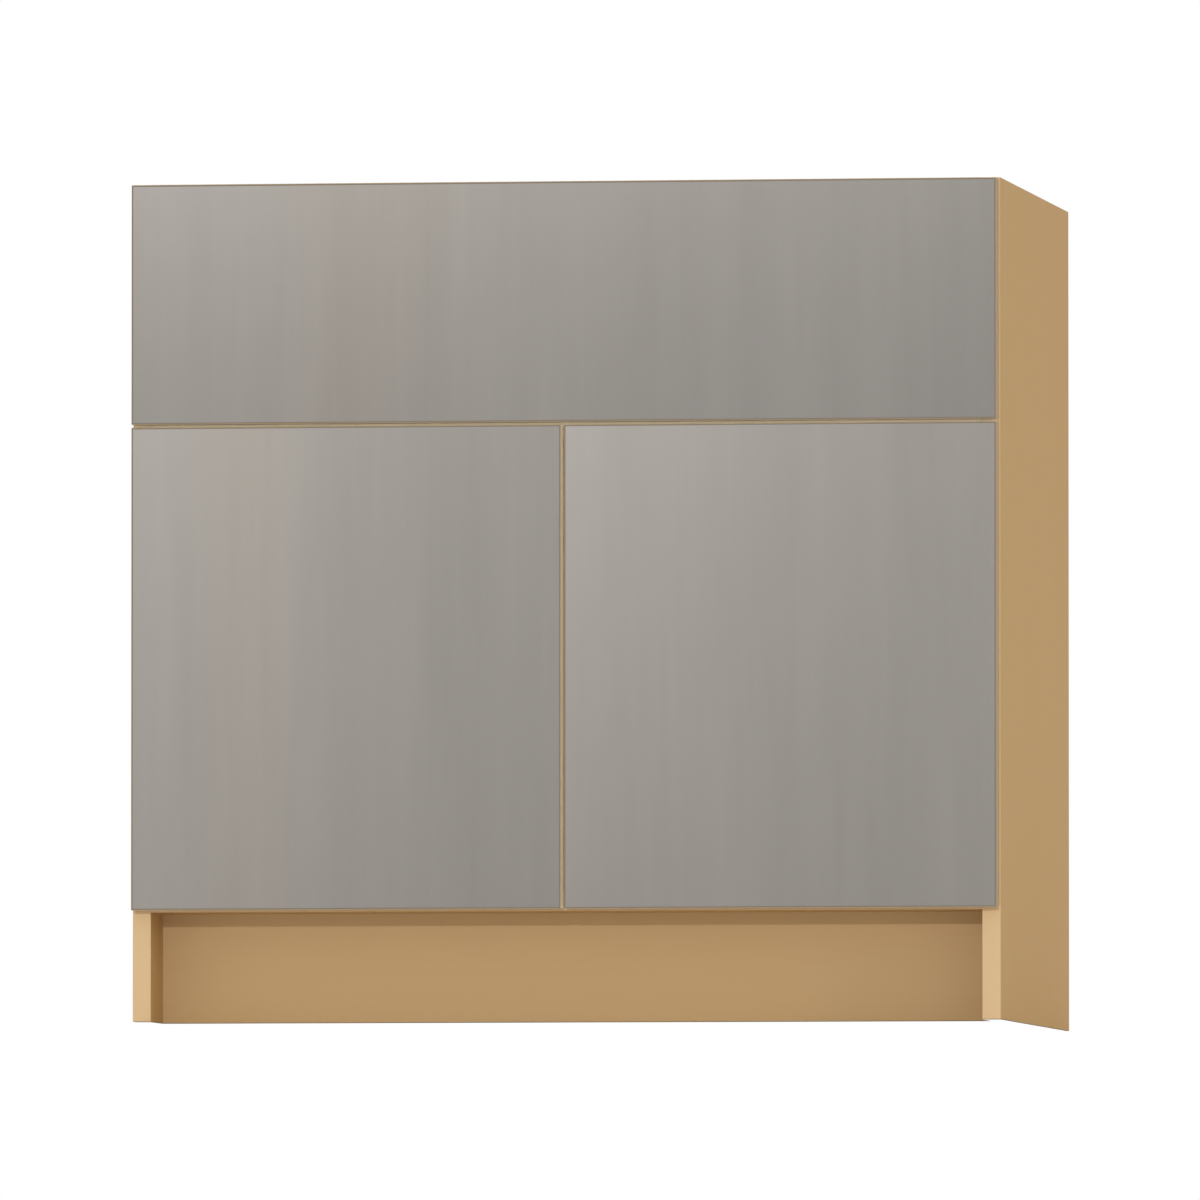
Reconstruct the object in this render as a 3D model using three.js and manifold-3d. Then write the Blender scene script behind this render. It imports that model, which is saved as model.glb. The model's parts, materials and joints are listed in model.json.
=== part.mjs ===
// Sink base cabinet without a face frame: a fixed false front over two doors that cover the
// case edges, side panels down to the floor and a kick board set back between them.
//
// Millimetres, +Z up. The doors face -Y, and +X is to the right of someone who faces them.
// Origin: on the floor, under the middle of the cabinet.

import * as THREE from 'three';
import { mergeVertices } from 'three/addons/utils/BufferGeometryUtils.js';
import loadManifold from 'manifold-3d';

// ------------------------------------------------------------------ driving dimensions

// Case
const CABINET_WIDTH = 914.4;
const CABINET_HEIGHT = 876.3;
const CABINET_DEPTH = 609.6; // from the wall to the face of the closed doors
const PANEL = 19.05; // sides, deck and upright rails
const CASE_BAND = 1.0; // edge band on the front edges of the sides and the deck
const KICK_HEIGHT = 114.3; // floor to the underside of the deck
const KICK_RECESS = 76.2; // kick board behind the front edges of the sides
const RAIL_HEIGHT = 101.6; // front and rear rails
const BACK_PANEL = 6.35;
const GROOVE_DEPTH = 9.5; // groove in each side that holds the back panel
const CLEARANCE = 0.3; // between a piece and the cut that it sits in

// Fronts
const FRONT_THICKNESS = 19.05;
const FACE_LAMINATE = 0.8;
const FRONT_BAND = 0.8; // edge band round each front
const OUTER_REVEAL = 1.6; // case edge left bare round the outside of the fronts
const FRONT_GAP = 3.2; // between one front and the next
const FALSE_FRONT_HEIGHT = 250.8;
const BUMPER_GAP = 2.0; // between the case and the closed doors

// Corner brackets at the open top
const BRACKET_LEG = 60;
const BRACKET_TIP = 12; // width of each cut-off tip
const BRACKET_WALL = 3;
const BRACKET_DROP = 22; // height of the flanges that are screwed to the panels
const BRACKET_HOLE_RADIUS = 2.6; // for the screw up into the worktop
const BRACKET_HOLE_PLACE = 20; // hole centre, from each of the two panels

// Door bumpers
const BUMPER_RADIUS = 4;
const BUMPER_INSET = 9.5; // centre, in from the door's free edge and its top or bottom
const BUMPER_SQUASH = 0.1; // air between a bumper and the case

// False-front fixings
const SPACER_RADIUS = 9;
const SCREW_RADIUS = 2;
const SCREW_LENGTH = 34; // under the head
const SCREW_HEAD_RADIUS = 4.5;
const SCREW_HEAD_HEIGHT = 2.4;
const SCREW_INSET = 150; // in from the inner face of each side
const SCREW_EDGE = 25; // lower screws, up from the bottom edge of the false front

// Cup hinges: door side
const HINGE_INSET = 101.6; // hinge centre from the door's top or bottom edge
const CUP_RADIUS = 17.5;
const CUP_DEPTH = 11.5;
const CUP_WALL = 0.8;
const CUP_FLOOR = 0.6;
const CUP_EDGE_DISTANCE = 20.5; // cup centre from the door's edge
const CUP_FLANGE = 1.0;
const CUP_FLANGE_LIP = 1.5; // flange past the cup's outside
const CUP_FLANGE_OPEN = 4; // flange ends this far short of the centre, towards the door's edge
const CUP_SCREW_OFFSET = 9.5; // screw line behind the cup's centre
const CUP_SCREW_SPACING = 45;
const CUP_EAR_RADIUS = 6;
const CUP_PIN_RADIUS = 1.0;

// Cup hinges: case side
const PLATE_SETBACK = 37; // plate screws behind the front of the case
const PLATE_SCREW_SPACING = 32;
const PLATE_BASE = 1.6;
const PLATE_WIDTH = 15;
const PLATE_EAR_RADIUS = 9;
const RAIL_START = 25; // plate rail and flat tail of the arm, behind the front of the case
const RAIL_END = 60;
const RAIL_RISE = 10.4; // plate rail above the side panel
const ARM_WALL = 1.2;
const ARM_TOP = 24; // outside of the arm above the side panel
const ARM_FRONT = 0.4; // front end of the arm, behind the front of the case
const ARM_SLOPE = 10; // run of the step down from the arm's top to its tail
const ARM_FOOT = 2.2; // free edge of the cheeks above the side panel
const ARM_PIN_RADIUS = 1.2;

// Cup hinges: links
const LINK_WIDTH = 11;
const LINK_THICKNESS = 1.6;
const LINK_SIDE_GAP = 0.3; // between a link and the cheek or link beside it
const INNER_LINK_WIDTH = 4.4;
const INNER_LINK_TIP_RADIUS = 1.0;
const EYE_WALL = 0.85; // metal rolled round a pin
const PIN_CLEARANCE = 0.25;
const LINK_BRIDGE = 7; // plain end of the outer link, from the arm pivot to its window
const KNEE_OFFSET = 0.7; // end of the outer link's straight stretch, outboard of the arm pivot
const KNEE_DEPTH = 1; // the same end, below the door's inner face
const KNEE_LEAD = 8.5; // how far the bend after the knee first heads on forwards
const HOOK_LEAD = { inboard: 3, down: 7.8 }; // where the bend comes up to the cup's pin from
const INNER_ARM_LEAD = { outboard: 7, forward: 9 }; // where the inner link heads to from the arm
const INNER_TIP_LEAD = { inboard: 11, down: 2 }; // where it comes up to its tip from

// Pivots of the links. Those in the arm count from the side's inner face and the front of the
// case, those in the cup from the door's edge and down from the door's inner face.
const OUTER_ARM_PIVOT = { inboard: 7.19, back: 15.87 };
const INNER_ARM_PIVOT = { inboard: 19.61, back: 7.51 };
const OUTER_CUP_PIVOT = { inboard: 7.9, down: 5.36 };
const INNER_CUP_PIVOT = { inboard: 13.23, down: 4.25 };

// Facets round a rod or pin, round a cup, along the bend of a link and up a bumper's dome
const ROD_STEPS = 14;
const CUP_STEPS = 32;
const BEND_STEPS = 8;
const DOME_STEPS = 4;

const MERGE_DISTANCE = 1e-4; // corners closer than this are one

// ------------------------------------------------------------------ places that follow

const SIDE_OUT = CABINET_WIDTH / 2;
const SIDE_IN = SIDE_OUT - PANEL;
const FRONT_FACE = -CABINET_DEPTH / 2;
const FRONT_BACK = FRONT_FACE + FRONT_THICKNESS; // inner face of the doors
const CASE_FRONT = FRONT_BACK + BUMPER_GAP;
const CASE_BACK = CABINET_DEPTH / 2;
const RAIL_REAR = CASE_FRONT + PANEL; // rear face of the front rails
const BACK_REAR = CASE_BACK - PANEL; // back panel, against the rear rails
const BACK_FRONT = BACK_REAR - BACK_PANEL;
const DECK_TOP = KICK_HEIGHT + PANEL;
const KICK_FRONT = CASE_FRONT + KICK_RECESS;

const FRONTS_HALF = SIDE_OUT - OUTER_REVEAL;
const FALSE_FRONT_TOP = CABINET_HEIGHT - OUTER_REVEAL;
const FALSE_FRONT_BOTTOM = FALSE_FRONT_TOP - FALSE_FRONT_HEIGHT;
const DOOR_TOP = FALSE_FRONT_BOTTOM - FRONT_GAP;
const DOOR_BOTTOM = KICK_HEIGHT + OUTER_REVEAL;
const MIDDLE_RAIL_TOP = (FALSE_FRONT_BOTTOM + DOOR_TOP + RAIL_HEIGHT) / 2;

const SCREW_HOLE_RADIUS = SCREW_RADIUS + CLEARANCE;
const SCREW_END = RAIL_REAR - SCREW_LENGTH;
const SCREW_X = SIDE_IN - SCREW_INSET;
const SCREW_PLACES = {
  upper_left: [-SCREW_X, CABINET_HEIGHT - RAIL_HEIGHT / 2],
  upper_right: [SCREW_X, CABINET_HEIGHT - RAIL_HEIGHT / 2],
  lower_left: [-SCREW_X, FALSE_FRONT_BOTTOM + SCREW_EDGE],
  lower_right: [SCREW_X, FALSE_FRONT_BOTTOM + SCREW_EDGE],
};
const HINGE_HEIGHTS = { upper: DOOR_TOP - HINGE_INSET, lower: DOOR_BOTTOM + HINGE_INSET };

// ------------------------------------------------------------------ materials

function finish(color, roughness, metalness = 0) {
  return new THREE.MeshStandardMaterial({ color, roughness, metalness });
}

const CASE_BOARD = finish(0xb59469, 0.62);
const PALE_BAND = finish(0xdaba8d, 0.5);
const FRONT_FACE_FINISH = finish(0x9c9790, 0.42);
const FRONT_EDGE = finish(0xad9c7a, 0.5);
const PLATED_STEEL = finish(0xc2c3c4, 0.28, 1);
const PALE_PLASTIC = finish(0xd9d4c8, 0.45);
const CLEAR_RUBBER = finish(0xd5d8d6, 0.35);

// ------------------------------------------------------------------ solids

const wasm = await loadManifold();
wasm.setup();

function solidFrom(geometry) {
  const bare = geometry.clone();
  bare.deleteAttribute('normal');
  bare.deleteAttribute('uv');
  const merged = mergeVertices(bare, MERGE_DISTANCE);
  return new wasm.Manifold(new wasm.Mesh({
    numProp: 3,
    vertProperties: new Float32Array(merged.attributes.position.array),
    triVerts: new Uint32Array(merged.index.array),
  }));
}

function geometryFrom(solid) {
  const mesh = solid.getMesh();
  const geometry = new THREE.BufferGeometry();
  geometry.setAttribute('position', new THREE.BufferAttribute(mesh.vertProperties, 3));
  geometry.setIndex(new THREE.BufferAttribute(mesh.triVerts, 1));
  geometry.computeVertexNormals();
  return geometry;
}

function union(solids) {
  return solids.reduce((whole, solid) => whole.add(solid));
}

function without(solid, cutters) {
  return cutters.reduce((left, cutter) => left.subtract(cutter), solid);
}

// A box from its two limits along each axis.
function blockGeometry(x, y, z) {
  const geometry = new THREE.BoxGeometry(x[1] - x[0], y[1] - y[0], z[1] - z[0]);
  return geometry.translate((x[0] + x[1]) / 2, (y[0] + y[1]) / 2, (z[0] + z[1]) / 2);
}

function block(x, y, z) {
  return solidFrom(blockGeometry(x, y, z));
}

function rodAlongX(radius, x, y, z, steps = ROD_STEPS) {
  const geometry = new THREE.CylinderGeometry(radius, radius, x[1] - x[0], steps);
  return solidFrom(geometry.rotateZ(Math.PI / 2).translate((x[0] + x[1]) / 2, y, z));
}

function rodAlongY(radius, x, y, z, steps = ROD_STEPS) {
  const geometry = new THREE.CylinderGeometry(radius, radius, y[1] - y[0], steps);
  return solidFrom(geometry.translate(x, (y[0] + y[1]) / 2, z));
}

function rodAlongZ(radius, x, y, z, steps = ROD_STEPS) {
  const geometry = new THREE.CylinderGeometry(radius, radius, z[1] - z[0], steps);
  return solidFrom(geometry.rotateX(Math.PI / 2).translate(x, y, (z[0] + z[1]) / 2));
}

// A plan outline carried up from one height to another.
function upright(outline, z) {
  const depth = z[1] - z[0];
  const geometry = new THREE.ExtrudeGeometry(outline, { depth, bevelEnabled: false });
  return solidFrom(geometry.translate(0, 0, z[0]));
}

// The outline of a strip of even thickness along a curve in plan.
function stripOutline(curve, thickness, steps) {
  const left = [];
  const right = [];
  for (let i = 0; i <= steps; i += 1) {
    const point = curve.getPoint(i / steps);
    const tangent = curve.getTangent(i / steps);
    const aside = new THREE.Vector2(-tangent.y, tangent.x).multiplyScalar(thickness / 2);
    left.push(point.clone().add(aside));
    right.unshift(point.clone().sub(aside));
  }
  return new THREE.Shape([...left, ...right]);
}

function part(name, material, geometry) {
  const mesh = new THREE.Mesh(geometry, material);
  mesh.name = name;
  return mesh;
}

// A plain board, placed by the middle of its box.
function board(name, material, x, y, z) {
  const geometry = new THREE.BoxGeometry(x[1] - x[0], y[1] - y[0], z[1] - z[0]);
  const mesh = part(name, material, geometry);
  mesh.position.set((x[0] + x[1]) / 2, (y[0] + y[1]) / 2, (z[0] + z[1]) / 2);
  return mesh;
}

// ------------------------------------------------------------------ case

// In what follows side is -1 for the left and +1 for the right.
function ordered(a, b) {
  return [Math.min(a, b), Math.max(a, b)];
}

function sidePanel(name, side) {
  const panel = block(
    ordered(side * SIDE_IN, side * SIDE_OUT),
    [CASE_FRONT + CASE_BAND, CASE_BACK],
    [0, CABINET_HEIGHT],
  );
  const groove = block(
    ordered(side * (SIDE_IN - CLEARANCE), side * (SIDE_IN + GROOVE_DEPTH + CLEARANCE)),
    [BACK_FRONT - CLEARANCE, BACK_REAR + CLEARANCE],
    [KICK_HEIGHT - CLEARANCE, CABINET_HEIGHT + CLEARANCE],
  );
  return part(name, CASE_BOARD, geometryFrom(panel.subtract(groove)));
}

function sideEdgeBand(name, side) {
  const x = ordered(side * SIDE_IN, side * SIDE_OUT);
  return board(name, PALE_BAND, x, [CASE_FRONT, CASE_FRONT + CASE_BAND], [0, CABINET_HEIGHT]);
}

function deckParts() {
  const x = [-SIDE_IN, SIDE_IN];
  const z = [KICK_HEIGHT, DECK_TOP];
  return [
    board('bottom_panel', CASE_BOARD, x, [CASE_FRONT + CASE_BAND, BACK_FRONT], z),
    board('bottom_edge_band', PALE_BAND, x, [CASE_FRONT, CASE_FRONT + CASE_BAND], z),
  ];
}

function backPanel() {
  const reach = SIDE_IN + GROOVE_DEPTH;
  const z = [KICK_HEIGHT, CABINET_HEIGHT];
  return board('back_panel', CASE_BOARD, [-reach, reach], [BACK_FRONT, BACK_REAR], z);
}

function rearRails() {
  const x = [-SIDE_IN, SIDE_IN];
  const y = [BACK_REAR, CASE_BACK];
  const top = [CABINET_HEIGHT - RAIL_HEIGHT, CABINET_HEIGHT];
  const lower = [KICK_HEIGHT, KICK_HEIGHT + RAIL_HEIGHT];
  return [
    board('rear_top_rail', CASE_BOARD, x, y, top),
    board('rear_lower_rail', CASE_BOARD, x, y, lower),
  ];
}

function frontRail(name, top, places) {
  const rail = block([-SIDE_IN, SIDE_IN], [CASE_FRONT, RAIL_REAR], [top - RAIL_HEIGHT, top]);
  const reach = [CASE_FRONT - CLEARANCE, RAIL_REAR + CLEARANCE];
  const holes = places.map(([x, z]) => rodAlongY(SCREW_HOLE_RADIUS, x, reach, z));
  return part(name, CASE_BOARD, geometryFrom(without(rail, holes)));
}

// Everything under the deck: the kick board, and the rails that carry the deck's rear and middle.
function baseBoards() {
  const across = [-SIDE_IN, SIDE_IN];
  const z = [0, KICK_HEIGHT];
  const kickRear = KICK_FRONT + PANEL;
  const railFront = BACK_FRONT - PANEL;
  return [
    board('toe_kick_board', CASE_BOARD, across, [KICK_FRONT, kickRear], z),
    board('rear_base_rail', CASE_BOARD, across, [railFront, BACK_FRONT], z),
    board('centre_base_rail', CASE_BOARD, [-PANEL / 2, PANEL / 2], [kickRear, railFront], z),
  ];
}

// ------------------------------------------------------------------ corner brackets

// Made with its corner at the origin, its legs along +X and +Y and its top at z = 0.
function bracketGeometry() {
  const outline = new THREE.Shape([
    new THREE.Vector2(0, 0),
    new THREE.Vector2(BRACKET_LEG, 0),
    new THREE.Vector2(BRACKET_LEG, BRACKET_TIP),
    new THREE.Vector2(BRACKET_TIP, BRACKET_LEG),
    new THREE.Vector2(0, BRACKET_LEG),
  ]);
  const drop = [-BRACKET_DROP, 0];
  const bracket = union([
    upright(outline, [-BRACKET_WALL, 0]),
    block([0, BRACKET_LEG], [0, BRACKET_WALL], drop),
    block([0, BRACKET_WALL], [0, BRACKET_LEG], drop),
  ]);
  const through = [-BRACKET_WALL - CLEARANCE, CLEARANCE];
  const hole = rodAlongZ(BRACKET_HOLE_RADIUS, BRACKET_HOLE_PLACE, BRACKET_HOLE_PLACE, through);
  return geometryFrom(bracket.subtract(hole));
}

function cornerBrackets() {
  const geometry = bracketGeometry();
  const corners = {
    front_left: [-1, 1],
    front_right: [1, 1],
    rear_left: [-1, -1],
    rear_right: [1, -1],
  };
  return Object.entries(corners).map(([corner, [side, rearward]]) => {
    const mesh = part(`${corner}_corner_bracket`, PALE_PLASTIC, geometry);
    mesh.position.set(side * SIDE_IN, rearward > 0 ? RAIL_REAR : BACK_FRONT, CABINET_HEIGHT);
    mesh.scale.set(-side, rearward, 1);
    return mesh;
  });
}

// ------------------------------------------------------------------ fronts

// A front is a board with a laminate face and a band round its edges. cutters are taken out of
// the board.
function front(name, x, z, cutters) {
  const inX = [x[0] + FRONT_BAND, x[1] - FRONT_BAND];
  const inZ = [z[0] + FRONT_BAND, z[1] - FRONT_BAND];
  const y = [FRONT_FACE, FRONT_BACK];
  const core = block(inX, [FRONT_FACE + FACE_LAMINATE, FRONT_BACK], inZ);
  const hollow = block(inX, [FRONT_FACE - CLEARANCE, FRONT_BACK + CLEARANCE], inZ);
  const band = block(x, y, z).subtract(hollow);
  return [
    part(`${name}_board`, CASE_BOARD, geometryFrom(without(core, cutters))),
    board(`${name}_face`, FRONT_FACE_FINISH, inX, [FRONT_FACE, FRONT_FACE + FACE_LAMINATE], inZ),
    part(`${name}_edge_band`, FRONT_EDGE, geometryFrom(band)),
  ];
}

function falseFront() {
  const pilots = Object.values(SCREW_PLACES).map(([x, z]) => (
    rodAlongY(SCREW_HOLE_RADIUS, x, [SCREW_END - CLEARANCE, FRONT_BACK + CLEARANCE], z)
  ));
  const z = [FALSE_FRONT_BOTTOM, FALSE_FRONT_TOP];
  return front('false_front', [-FRONTS_HALF, FRONTS_HALF], z, pilots);
}

// Each screw runs from inside the case through a rail and a spacer into the false front.
function falseFrontFixings() {
  return Object.entries(SCREW_PLACES).flatMap(([place, [x, z]]) => {
    const disc = rodAlongY(SPACER_RADIUS, x, [FRONT_BACK, CASE_FRONT], z);
    const reach = [FRONT_BACK - CLEARANCE, CASE_FRONT + CLEARANCE];
    const spacer = disc.subtract(rodAlongY(SCREW_HOLE_RADIUS, x, reach, z));
    const shank = rodAlongY(SCREW_RADIUS, x, [SCREW_END, RAIL_REAR], z);
    const head = rodAlongY(SCREW_HEAD_RADIUS, x, [RAIL_REAR, RAIL_REAR + SCREW_HEAD_HEIGHT], z);
    return [
      part(`${place}_front_spacer`, PALE_PLASTIC, geometryFrom(spacer)),
      part(`${place}_front_screw`, PLATED_STEEL, geometryFrom(shank.add(head))),
    ];
  });
}

function cupCentre(side) {
  return side * (FRONTS_HALF - CUP_EDGE_DISTANCE);
}

function door(name, side) {
  const x = ordered(side * FRONTS_HALF, (side * FRONT_GAP) / 2);
  const bore = [FRONT_BACK - CUP_DEPTH - CLEARANCE, FRONT_BACK + CLEARANCE];
  const bores = Object.values(HINGE_HEIGHTS).map((height) => (
    rodAlongY(CUP_RADIUS + CLEARANCE, cupCentre(side), bore, height, CUP_STEPS)
  ));
  return front(name, x, [DOOR_BOTTOM, DOOR_TOP], bores);
}

// Domes stuck to the inner face of the door, near the two corners of its free edge.
function doorBumpers(name, side) {
  const height = BUMPER_GAP - BUMPER_SQUASH;
  const arc = new THREE.EllipseCurve(0, 0, BUMPER_RADIUS, height, 0, Math.PI / 2);
  const rim = arc.getPoints(DOME_STEPS).slice(0, -1);
  const profile = [new THREE.Vector2(0, 0), ...rim, new THREE.Vector2(0, height)];
  const dome = geometryFrom(solidFrom(new THREE.LatheGeometry(profile, ROD_STEPS)));
  const heights = { upper: DOOR_TOP - BUMPER_INSET, lower: DOOR_BOTTOM + BUMPER_INSET };
  return Object.entries(heights).map(([level, z]) => {
    const mesh = part(`${name}_${level}_bumper`, CLEAR_RUBBER, dome);
    mesh.position.set(side * (FRONT_GAP / 2 + BUMPER_INSET), FRONT_BACK, z);
    return mesh;
  });
}

// ------------------------------------------------------------------ cup hinges

// A hinge is made in its own frame: x inboard from the side's inner face, y back from the front
// of the case, z up from the hinge's centre. Its pins stand upright.
const DOOR_EDGE = OUTER_REVEAL - PANEL;
const DOOR_INNER_FACE = -BUMPER_GAP;
const CUP_X = DOOR_EDGE + CUP_EDGE_DISTANCE;
const OUTER_ARM_PIN = new THREE.Vector2(OUTER_ARM_PIVOT.inboard, OUTER_ARM_PIVOT.back);
const INNER_ARM_PIN = new THREE.Vector2(INNER_ARM_PIVOT.inboard, INNER_ARM_PIVOT.back);
const OUTER_CUP_PIN = new THREE.Vector2(
  DOOR_EDGE + OUTER_CUP_PIVOT.inboard,
  DOOR_INNER_FACE - OUTER_CUP_PIVOT.down,
);
const INNER_CUP_PIN = new THREE.Vector2(
  DOOR_EDGE + INNER_CUP_PIVOT.inboard,
  DOOR_INNER_FACE - INNER_CUP_PIVOT.down,
);
const ARM_EYE_BORE = ARM_PIN_RADIUS + PIN_CLEARANCE;
const CUP_EYE_BORE = CUP_PIN_RADIUS + PIN_CLEARANCE;
const ARM_EYE_RADIUS = ARM_EYE_BORE + EYE_WALL;
const CUP_EYE_RADIUS = CUP_EYE_BORE + EYE_WALL;
const LINK_SPAN = [-LINK_WIDTH / 2, LINK_WIDTH / 2];
const CHEEK_IN = LINK_WIDTH / 2 + LINK_SIDE_GAP;
const CHEEK_OUT = CHEEK_IN + ARM_WALL;
const ARM_SPAN = [-CHEEK_OUT, CHEEK_OUT];

function mountingPlate() {
  const half = PLATE_SCREW_SPACING / 2;
  const base = [0, PLATE_BASE];
  const strip = [PLATE_SETBACK - PLATE_WIDTH / 2, PLATE_SETBACK + PLATE_WIDTH / 2];
  const railHalf = CHEEK_IN - CLEARANCE;
  return union([
    block(base, strip, [-half, half]),
    rodAlongX(PLATE_EAR_RADIUS, base, PLATE_SETBACK, half),
    rodAlongX(PLATE_EAR_RADIUS, base, PLATE_SETBACK, -half),
    block([0, RAIL_RISE], [RAIL_START, RAIL_END], [-railHalf, railHalf]),
  ]);
}

// A channel with its open side towards the panel. Its cheeks hold the two arm pins, and its
// lower tail straddles the rail of the mounting plate.
function hingeArm() {
  const tailTop = RAIL_RISE + CLEARANCE + ARM_WALL;
  const web = new THREE.Shape([
    new THREE.Vector2(ARM_TOP - ARM_WALL, ARM_FRONT),
    new THREE.Vector2(ARM_TOP, ARM_FRONT),
    new THREE.Vector2(ARM_TOP, RAIL_START - ARM_SLOPE),
    new THREE.Vector2(tailTop, RAIL_START),
    new THREE.Vector2(tailTop, RAIL_END),
    new THREE.Vector2(tailTop - ARM_WALL, RAIL_END),
    new THREE.Vector2(tailTop - ARM_WALL, RAIL_START - ARM_WALL / 2),
    new THREE.Vector2(ARM_TOP - ARM_WALL, RAIL_START - ARM_SLOPE - ARM_WALL / 2),
  ]);
  const lap = ARM_EYE_RADIUS + ARM_WALL; // cheek metal round a pin
  const cheek = new THREE.Shape([
    new THREE.Vector2(ARM_TOP, ARM_FRONT),
    new THREE.Vector2(ARM_TOP, RAIL_START - ARM_SLOPE),
    new THREE.Vector2(tailTop, RAIL_START),
    new THREE.Vector2(tailTop, RAIL_END),
    new THREE.Vector2(ARM_FOOT, RAIL_END),
    new THREE.Vector2(ARM_FOOT, OUTER_ARM_PIN.y + lap),
    new THREE.Vector2(OUTER_ARM_PIN.x - lap, OUTER_ARM_PIN.y),
    new THREE.Vector2(OUTER_ARM_PIN.x, OUTER_ARM_PIN.y - lap),
    new THREE.Vector2(INNER_ARM_PIN.x - lap, ARM_FRONT),
  ]);
  const pins = [OUTER_ARM_PIN, INNER_ARM_PIN].map((pin) => (
    rodAlongZ(ARM_PIN_RADIUS, pin.x, pin.y, ARM_SPAN)
  ));
  return union([
    upright(web, ARM_SPAN),
    upright(cheek, [-CHEEK_OUT, -CHEEK_IN]),
    upright(cheek, [CHEEK_IN, CHEEK_OUT]),
    ...pins,
  ]);
}

// A round pressed cup with an open-ended flange on the door's inner face, two screw ears, and
// the outer link's pin across its hollow.
function hingeCup() {
  const floor = DOOR_INNER_FACE - CUP_DEPTH;
  const inner = CUP_RADIUS - CUP_WALL;
  const shell = solidFrom(new THREE.LatheGeometry([
    new THREE.Vector2(0, floor),
    new THREE.Vector2(CUP_RADIUS, floor),
    new THREE.Vector2(CUP_RADIUS, DOOR_INNER_FACE),
    new THREE.Vector2(inner, DOOR_INNER_FACE),
    new THREE.Vector2(inner, floor + CUP_FLOOR),
    new THREE.Vector2(0, floor + CUP_FLOOR),
  ], CUP_STEPS).translate(CUP_X, 0, 0));

  const rise = [DOOR_INNER_FACE, DOOR_INNER_FACE + CUP_FLANGE];
  const earX = CUP_X + CUP_SCREW_OFFSET;
  const earZ = CUP_SCREW_SPACING / 2;
  const edge = CUP_RADIUS + CUP_FLANGE_LIP;
  const past = [rise[0] - CLEARANCE, rise[1] + CLEARANCE];
  const flange = without(union([
    rodAlongY(edge, CUP_X, rise, 0, CUP_STEPS),
    rodAlongY(CUP_EAR_RADIUS, earX, rise, earZ),
    rodAlongY(CUP_EAR_RADIUS, earX, rise, -earZ),
    block([earX - CUP_EAR_RADIUS, earX + CUP_EAR_RADIUS], rise, [-earZ, earZ]),
  ]), [
    rodAlongY(inner, CUP_X, past, 0, CUP_STEPS),
    block([CUP_X - edge - CLEARANCE, CUP_X - CUP_FLANGE_OPEN], past, [-edge, edge]),
  ]);

  const bar = [-CUP_RADIUS, CUP_RADIUS];
  const pin = rodAlongZ(CUP_PIN_RADIUS, OUTER_CUP_PIN.x, OUTER_CUP_PIN.y, bar);
  const inside = rodAlongY(CUP_RADIUS - CUP_WALL / 2, CUP_X, [floor, DOOR_INNER_FACE], 0, CUP_STEPS);
  return union([shell, flange, pin.intersect(inside)]);
}

// The outer link turns on the arm's rear pin, runs forward past the edge of the side, and
// hooks round the floor of the cup to the cup's pin. The inner link swings in its window.
function outerLink() {
  const knee = new THREE.Vector2(OUTER_ARM_PIN.x - KNEE_OFFSET, DOOR_INNER_FACE - KNEE_DEPTH);
  const line = new THREE.CurvePath();
  line.add(new THREE.LineCurve(OUTER_ARM_PIN, knee));
  line.add(new THREE.CubicBezierCurve(
    knee,
    new THREE.Vector2(knee.x, knee.y - KNEE_LEAD),
    new THREE.Vector2(OUTER_CUP_PIN.x + HOOK_LEAD.inboard, OUTER_CUP_PIN.y - HOOK_LEAD.down),
    OUTER_CUP_PIN,
  ));
  const link = union([
    upright(stripOutline(line.curves[0], LINK_THICKNESS, 1), LINK_SPAN),
    upright(stripOutline(line.curves[1], LINK_THICKNESS, BEND_STEPS), LINK_SPAN),
    rodAlongZ(ARM_EYE_RADIUS, OUTER_ARM_PIN.x, OUTER_ARM_PIN.y, LINK_SPAN),
  ]);
  const half = INNER_LINK_WIDTH / 2 + LINK_SIDE_GAP;
  const low = DOOR_INNER_FACE - CUP_DEPTH;
  const window = block([DOOR_EDGE, ARM_TOP], [low, OUTER_ARM_PIN.y - LINK_BRIDGE], [-half, half]);
  const cupEye = rodAlongZ(CUP_EYE_RADIUS, OUTER_CUP_PIN.x, OUTER_CUP_PIN.y, LINK_SPAN);
  return without(link.subtract(window).add(cupEye), [
    rodAlongZ(ARM_EYE_BORE, OUTER_ARM_PIN.x, OUTER_ARM_PIN.y, ARM_SPAN),
    rodAlongZ(CUP_EYE_BORE, OUTER_CUP_PIN.x, OUTER_CUP_PIN.y, ARM_SPAN),
  ]);
}

// The inner link turns on the arm's front pin. Its tip lies free in the cup.
function innerLink() {
  const curve = new THREE.CubicBezierCurve(
    INNER_ARM_PIN,
    new THREE.Vector2(
      INNER_ARM_PIN.x - INNER_ARM_LEAD.outboard,
      INNER_ARM_PIN.y - INNER_ARM_LEAD.forward,
    ),
    new THREE.Vector2(
      INNER_CUP_PIN.x + INNER_TIP_LEAD.inboard,
      INNER_CUP_PIN.y - INNER_TIP_LEAD.down,
    ),
    INNER_CUP_PIN,
  );
  const half = INNER_LINK_WIDTH / 2;
  const link = union([
    upright(stripOutline(curve, LINK_THICKNESS, BEND_STEPS), [-half, half]),
    rodAlongZ(ARM_EYE_RADIUS, INNER_ARM_PIN.x, INNER_ARM_PIN.y, LINK_SPAN),
    rodAlongZ(INNER_LINK_TIP_RADIUS, INNER_CUP_PIN.x, INNER_CUP_PIN.y, [-half, half]),
  ]);
  return link.subtract(rodAlongZ(ARM_EYE_BORE, INNER_ARM_PIN.x, INNER_ARM_PIN.y, ARM_SPAN));
}

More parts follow.
